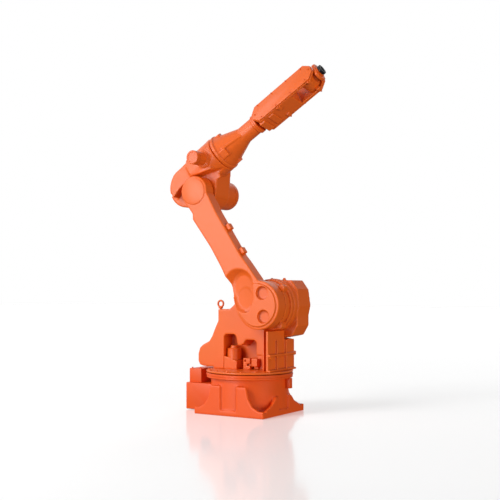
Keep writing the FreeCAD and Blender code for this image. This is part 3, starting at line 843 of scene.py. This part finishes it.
@dataclass
class LowerArm(SubAssembly):
    """The link from shoulder to elbow, with its covers and hose clamps."""

    body: str = "lower_arm"
    near: float = -140.0
    dish_spots: tuple[tuple[float, ...], ...] = ((-40.0, 160.0, 106.0, 27.0),
                                                 (-62.0, 96.0, 88.0, 24.0))
    dish_tilt: float = -9.0
    pocket_start: float = 30.0
    pocket_ring: float = 83.0
    pocket_radius: float = 40.0
    pocket_floor: float = -130.0

    def dishes(self) -> list[Form]:
        """Makes the cutters for the scooped blend over the shoulder cover."""
        made = []
        for x, z, radius, depth in self.dish_spots:
            profile = [(-40, 0), (-40, radius + 28), (-14, radius + 12), (0, radius),
                       (depth * 0.6, radius * 0.87), (depth * 0.92, radius * 0.70), (depth, 0)]
            form = Form(Place.ARM).turned(profile, (x, self.near, z), "Y", 96)
            form.turn(self.dish_tilt, "X", (x, self.near, z), set())
            made.append(form.turn(self.dish_tilt, "Z", (x, self.near, z), set()))
        return made

    def pockets(self) -> Form:
        """Makes the cutter for the three round pockets of the shoulder cover."""
        form = Form(Place.ARM)
        for step in range(3):
            turn = math.radians(self.pocket_start + 120 * step)
            spot = (self.pocket_ring * math.cos(turn), self.pocket_floor,
                    self.pocket_ring * math.sin(turn))
            form.drum(spot, "Y", -40, self.pocket_radius - 2, self.pocket_radius + 6,
                      round_by=0, sides=48)
        return form

    def build(self) -> None:
        """Builds the lower arm."""
        form = Form(Place.ARM).copy_node("lower_arm")
        self.casting(form, "arm_link", Surface.CAST_PAINT, ["lower_arm"],
                     [*self.dishes(), self.pockets()], grain=3.6, passes=7)
        form = Form(Place.ARM).copy_node("shoulder_cover")
        form.drum((0, self.near + 3, 0), "Y", -5, 136, round_by=0, sides=128)
        self.casting(form, "shoulder_disc", Surface.CAST_PAINT, ["shoulder_cover"],
                     [*self.dishes(), self.pockets()], grain=2.2, passes=4)
        cap = [(2, 0), (2, 88), (-1.5, 88), (-2.5, 85), (-5, 84), (-6, 81), (-6, 0)]
        form = Form(Place.ARM).turned(cap, (0, self.near, ARM_LENGTH), "Y", 96)
        self.piece(form, "elbow_cap", Surface.PLATE_PAINT, ["elbow_cover"])
        for name in ("hose_clamp_low", "hose_clamp_high"):
            form = Form(Place.ARM).copy_node(name)
            self.casting(form, f"{name}_body", Surface.CAST_PAINT, [name], grain=2.2, passes=8)


@dataclass
class Elbow(SubAssembly):
    """Elbow casting with its two motors."""

    body: str = "elbow"
    offset: float = 143.0
    roll_motor_x: float = 156.0

    def build(self) -> None:
        """Builds the elbow."""
        form = Form(Place.ELBOW).copy_node("elbow_casting")
        notch = Form(Place.ELBOW).block((-240, -200, 118), (-196, 60, 134), 2)
        self.casting(form, "elbow_body", Surface.CAST_PAINT, ["elbow_casting"], [notch], grain=4.0,
                     passes=12)
        flange = [(12, 0), (12, 58), (-6, 58), (-8, 55), (-13, 54), (-14, 50), (-22, 50), (-24, 47),
                  (-24, 0)]
        form = Form(Place.ELBOW).turned(flange, (self.roll_motor_x, -112, self.offset),
                                         "Y", 80)
        self.piece(form, "roll_motor_flange", Surface.PLATE_PAINT, ["roll_motor_mount"])
        self.piece(motor_can(Place.ELBOW, -136, -236, 44, self.roll_motor_x, self.offset, -1),
                   "roll_motor_can", Surface.MOTOR_PAINT, ["roll_motor"])
        self.piece(motor_can(Place.ELBOW, 126, 255, 95, 0, 0, 1), "elbow_motor_can",
                   Surface.MOTOR_PAINT, ["elbow_motor"])
        self.piece(motor_plug(Place.ELBOW, (0, 215, 91)), "elbow_motor_plug", Surface.BLACK_PLASTIC)
        self.soft_copies({"elbow_motor_mount": (Surface.PLATE_PAINT, 4.0)})


@dataclass
class Forearm(SubAssembly):
    """Flanged cone, tube and boxed wrist carrier."""

    body: str = "forearm"
    face: float = 75.0
    lug_along: tuple[float, float] = (762.0, 1012.0)
    lug_across: float = 65.0
    cover_screws: tuple[tuple[float, float], ...] = (
        (600, 0), (640, 50), (640, -50), (760, 52), (760, -52), (880, 52), (880, -52), (1000, 48),
        (1000, -48), (1048, 0))

    def cone(self) -> None:
        """Casts the cone and tube with the pads and web that stand out of them."""
        form = Form(Place.FOREARM).copy_node("forearm_casting")
        for degrees, length, half, height in ((132, 50, 22, 112), (-132, 58, 27, 112),
                                              (48, 50, 22, 112), (-48, 58, 27, 112)):
            old = set(form.mesh.verts)
            form.block((262, -half, 60), (262 + length, half, height), 0)
            form.turn(degrees - 90, "X", (0, 0, 0), old)
        for degrees in (-150, -30):
            old = set(form.mesh.verts)
            form.prism([(300, 50), (440, 40), (440, 58), (416, 66), (300, 108)], -7, 7, "Y", 0)
            form.turn(degrees - 90, "X", (0, 0, 0), old)
        self.casting(form, "forearm_body", Surface.CAST_PAINT, ["forearm_casting"], grain=3.2,
                     passes=7)

    def box(self) -> None:
        """Casts the wrist box with its bolt lugs and the steps under its rear end."""
        form = Form(Place.FOREARM).copy_node("wrist_box")
        for start, end, low in ((594, 636, -73), (668, 708, -71)):
            form.block((start, -48, low), (end, 48, -50), 0)
        for along in self.lug_along:
            for side in (-1, 1):
                form.drum((along, side * self.lug_across, -60), "Y", side * -34, 15,
                          round_by=0, sides=32)
        self.casting(form, "wrist_case", Surface.CAST_PAINT, ["wrist_box"], grain=3.0, passes=5)

    def build(self) -> None:
        """Builds the forearm."""
        self.cone()
        self.box()
        band = [(546, 0), (546, 61), (549, 64), (558, 64), (559, 62), (561, 62), (562, 64),
                (570, 64), (572, 62), (572, 0)]
        self.piece(Form(Place.FOREARM).turned(band, (0, 0, 0), "X", 80), "tube_collar",
                   Surface.PLATE_PAINT, ["forearm_collar"])
        self.soft_copies({
            "wrist_cover_near": (Surface.PLATE_PAINT, 4.5),
            "wrist_cover_far": (Surface.PLATE_PAINT, 4.5),
        })
        screws = Form(Place.FOREARM)
        for along, up in self.cover_screws:
            for side in (-1, 1):
                screws.bolt((along, side * self.face, up), "Y", side, 5.0)
        for along in self.lug_along:
            for side in (-1, 1):
                screws.bolt((along, side * self.lug_across, -68), "Y", side, 6.0)
        self.piece(screws, "wrist_cover_screws", Surface.PLATE_PAINT)


@dataclass
class Wrist(SubAssembly):
    """Bending wrist hub with its stepped nose."""

    body: str = "wrist"

    def build(self) -> None:
        """Builds the wrist."""
        hub = [(-45, 0), (-45, 30), (-43, 32), (-43, 50), (-40, 54), (40, 54), (43, 50), (43, 32),
               (45, 30), (45, 0)]
        form = Form(Place.FOREARM).turned(hub, (WRIST_AHEAD, 0, 0), "Y", 96)
        self.piece(form, "hub_drum", Surface.PLATE_PAINT, ["wrist_hub"])
        self.soft_copies({
            "wrist_hand": (Surface.PLATE_PAINT, 2.0),
            "wrist_ring": (Surface.PLATE_PAINT, 2.5),
        })


@dataclass
class ToolFlange(SubAssembly):
    """Black tool flange."""

    body: str = "flange"

    def build(self) -> None:
        """Builds the flange."""
        self.soft_copies({"tool_flange": (Surface.BLACK_FLANGE, 1.0)})


@dataclass
class Bearings:
    """Machined gearbox faces, which keep the frame's own meshes."""

    nodes: tuple[str, ...] = ("swivel_gearbox", "shoulder_gearbox", "elbow_gearbox",
                              "roll_bearing", "wrist_pivot_near", "wrist_pivot_far",
                              "flange_bearing")

    def build(self) -> None:
        """Gives the gearbox nodes their steel."""
        for name in self.nodes:
            node = frame["nodes"][name]
            node.data.materials.clear()
            node.data.materials.append(Surface.BARE_STEEL.value.material())
            LOG.info("%s: frame mesh in bare steel", name)


# ---- studio

@dataclass
class Studio:
    """Pale floor, soft lights and the camera."""

    azimuth: float = 32.3
    pitch: float = 2.47
    distance: float = 5.686
    target: Point = (0.0015, 0.0, 1.015)
    lens: float = 64.8
    ambient: float = 0.15
    mirrored: float = 0.80
    flag: Point = (0.62, 0.78, 0.0)
    flag_span: tuple[float, float] = (0.60, 0.85)
    flag_dark: float = 0.08
    underside_span: tuple[float, float] = (-0.25, 0.02)
    underside_dark: float = 0.10
    floor_half: float = 30000.0
    floor_depth: float = 40.0

    def floor(self) -> None:
        """Lays a pale floor under the foot."""
        form = Form().block((-self.floor_half, -self.floor_half, -self.floor_depth),
                            (self.floor_half, self.floor_half, 0), 0)
        made = form.to_object("studio_floor")
        sheet = bpy.data.materials.new("studio_white")
        sheet.use_nodes = True
        shader = sheet.node_tree.nodes["Principled BSDF"]
        shader.inputs["Base Color"].default_value = (0.80, 0.80, 0.80, 1)
        shader.inputs["Roughness"].default_value = 0.12
        shader.inputs["Specular IOR Level"].default_value = 0.22
        shader.inputs["Emission Color"].default_value = (1, 1, 1, 1)
        shader.inputs["Emission Strength"].default_value = 0.30
        made.data.materials.append(sheet)
        made.visible_diffuse = False
        made.visible_glossy = False
        made.visible_shadow = False

    def world(self) -> None:
        """Sets a soft surround, pale in reflections but for a dark flag behind on the right."""
        world = bpy.data.worlds.new("studio")
        bpy.context.scene.world = world
        world.use_nodes = True
        tree = world.node_tree
        place = tree.nodes.new("ShaderNodeTexCoord")
        facing = tree.nodes.new("ShaderNodeVectorMath")
        facing.operation = "DOT_PRODUCT"
        facing.inputs[1].default_value = Vector(self.flag).normalized()
        tree.links.new(place.outputs["Generated"], facing.inputs[0])
        height = tree.nodes.new("ShaderNodeSeparateXYZ")
        tree.links.new(place.outputs["Generated"], height.inputs["Vector"])

        def span(source: bpy.types.NodeSocket, limits: tuple[float, float, float, float]
                 ) -> bpy.types.NodeSocket:
            """Maps a value from one span onto another.

            Args:
                source: the value.
                limits: the span it comes from, then the span it goes to.

            Returns:
                The mapped value.
            """
            node = tree.nodes.new("ShaderNodeMapRange")
            for key, number in zip(("From Min", "From Max", "To Min", "To Max"), limits):
                node.inputs[key].default_value = number
            tree.links.new(source, node.inputs["Value"])
            return node.outputs["Result"]

        mirrored = tree.nodes.new("ShaderNodeMath")
        mirrored.operation = "MULTIPLY"
        tree.links.new(span(facing.outputs["Value"],
                            (*self.flag_span, self.mirrored, self.flag_dark)),
                       mirrored.inputs[0])
        tree.links.new(span(height.outputs["Z"], (*self.underside_span, self.underside_dark, 1.0)),
                       mirrored.inputs[1])
        path = tree.nodes.new("ShaderNodeLightPath")
        choice = tree.nodes.new("ShaderNodeMix")
        choice.data_type = "FLOAT"
        tree.links.new(path.outputs["Is Diffuse Ray"], choice.inputs["Factor"])
        tree.links.new(mirrored.outputs["Value"], choice.inputs["A"])
        choice.inputs["B"].default_value = self.ambient
        light = tree.nodes["Background"]
        tree.links.new(choice.outputs["Result"], light.inputs["Strength"])
        light.inputs["Color"].default_value = (1, 1, 1, 1)
        shown = tree.nodes.new("ShaderNodeBackground")
        shown.inputs["Color"].default_value = (1, 1, 1, 1)
        shown.inputs["Strength"].default_value = 1.0
        mix = tree.nodes.new("ShaderNodeMixShader")
        tree.links.new(path.outputs["Is Camera Ray"], mix.inputs["Fac"])
        tree.links.new(light.outputs["Background"], mix.inputs[1])
        tree.links.new(shown.outputs["Background"], mix.inputs[2])
        tree.links.new(mix.outputs["Shader"], tree.nodes["World Output"].inputs["Surface"])

    def softbox(self, name: str, spot: Point, aim: Point, size: tuple[float, float],
                power: float, shines: bool) -> None:
        """Hangs a soft rectangular light.

        Args:
            name: the light's name.
            spot: where it hangs, in metres.
            aim: the point that it faces.
            size: width and height.
            power: its power in watts.
            shines: whether it shows as a highlight in the paint.
        """
        data = bpy.data.lights.new(name, "AREA")
        data.shape = "RECTANGLE"
        data.size, data.size_y = size
        data.energy = power
        lamp = bpy.data.objects.new(name, data)
        lamp.location = spot
        way = Vector(aim) - Vector(spot)
        lamp.rotation_euler = way.to_track_quat("-Z", "Y").to_euler()
        lamp.visible_glossy = shines
        bpy.context.scene.collection.objects.link(lamp)

    def sun(self, name: str, source: Point, strength: float, spread: float) -> None:
        """Adds a broad, even light from one direction, which leaves no highlight in the paint.

        Args:
            name: the light's name.
            source: the direction that it comes from.
            strength: its strength.
            spread: its apparent width, in degrees.
        """
        data = bpy.data.lights.new(name, "SUN")
        data.energy = strength
        data.angle = math.radians(spread)
        lamp = bpy.data.objects.new(name, data)
        lamp.rotation_euler = (-Vector(source)).to_track_quat("-Z", "Y").to_euler()
        lamp.visible_glossy = False
        bpy.context.scene.collection.objects.link(lamp)

    def camera(self) -> None:
        """Stands the camera."""
        data = bpy.data.cameras.new("view")
        data.lens = self.lens
        data.sensor_width = 36
        turn, lift = math.radians(self.azimuth), math.radians(self.pitch)
        way = Vector((-math.sin(turn) * math.cos(lift), math.cos(turn) * math.cos(lift),
                      math.sin(lift)))
        eye = bpy.data.objects.new("view", data)
        eye.location = Vector(self.target) - way * self.distance
        eye.rotation_euler = way.to_track_quat("-Z", "Y").to_euler()
        data.clip_end = 100
        bpy.context.scene.collection.objects.link(eye)
        bpy.context.scene.camera = eye

    def build(self) -> None:
        """Builds the studio."""
        bpy.context.scene.view_settings.view_transform = "Standard"
        self.floor()
        self.world()
        self.sun("key", (-0.42, -0.75, 0.62), 1.32, 22)
        self.sun("fill", (0.93, -0.25, -0.12), 1.75, 40)
        self.sun("rear", (-0.35, 0.80, 0.45), 0.9, 40)
        self.sun("bounce", (-0.30, -0.80, -0.52), 0.55, 40)
        self.softbox("front", (-3.0, -4.6, 2.0), (0, 0, 1.2), (2.4, 2.4), 58, True)
        self.softbox("high", (-4.2, -2.8, 4.0), (0, 0, 1.7), (2.4, 2.4), 34, True)
        self.softbox("strip", (-1.2, -5.4, 0.8), (0, 0, 0.8), (0.5, 2.6), 48, True)
        self.softbox("wash", (-3.0, -4.6, 1.4), (0, 0, 1.1), (2.6, 3.2), 62, False)
        self.camera()


def main() -> None:
    """Builds the machine and its studio."""
    logging.basicConfig(level=logging.INFO, format="%(message)s")
    for part in (Base(), Column(), LowerArm(), Elbow(), Forearm(), Wrist(), ToolFlange(),
                 Bearings(), Studio()):
        part.build()


if __name__ == "__main__":
    main()
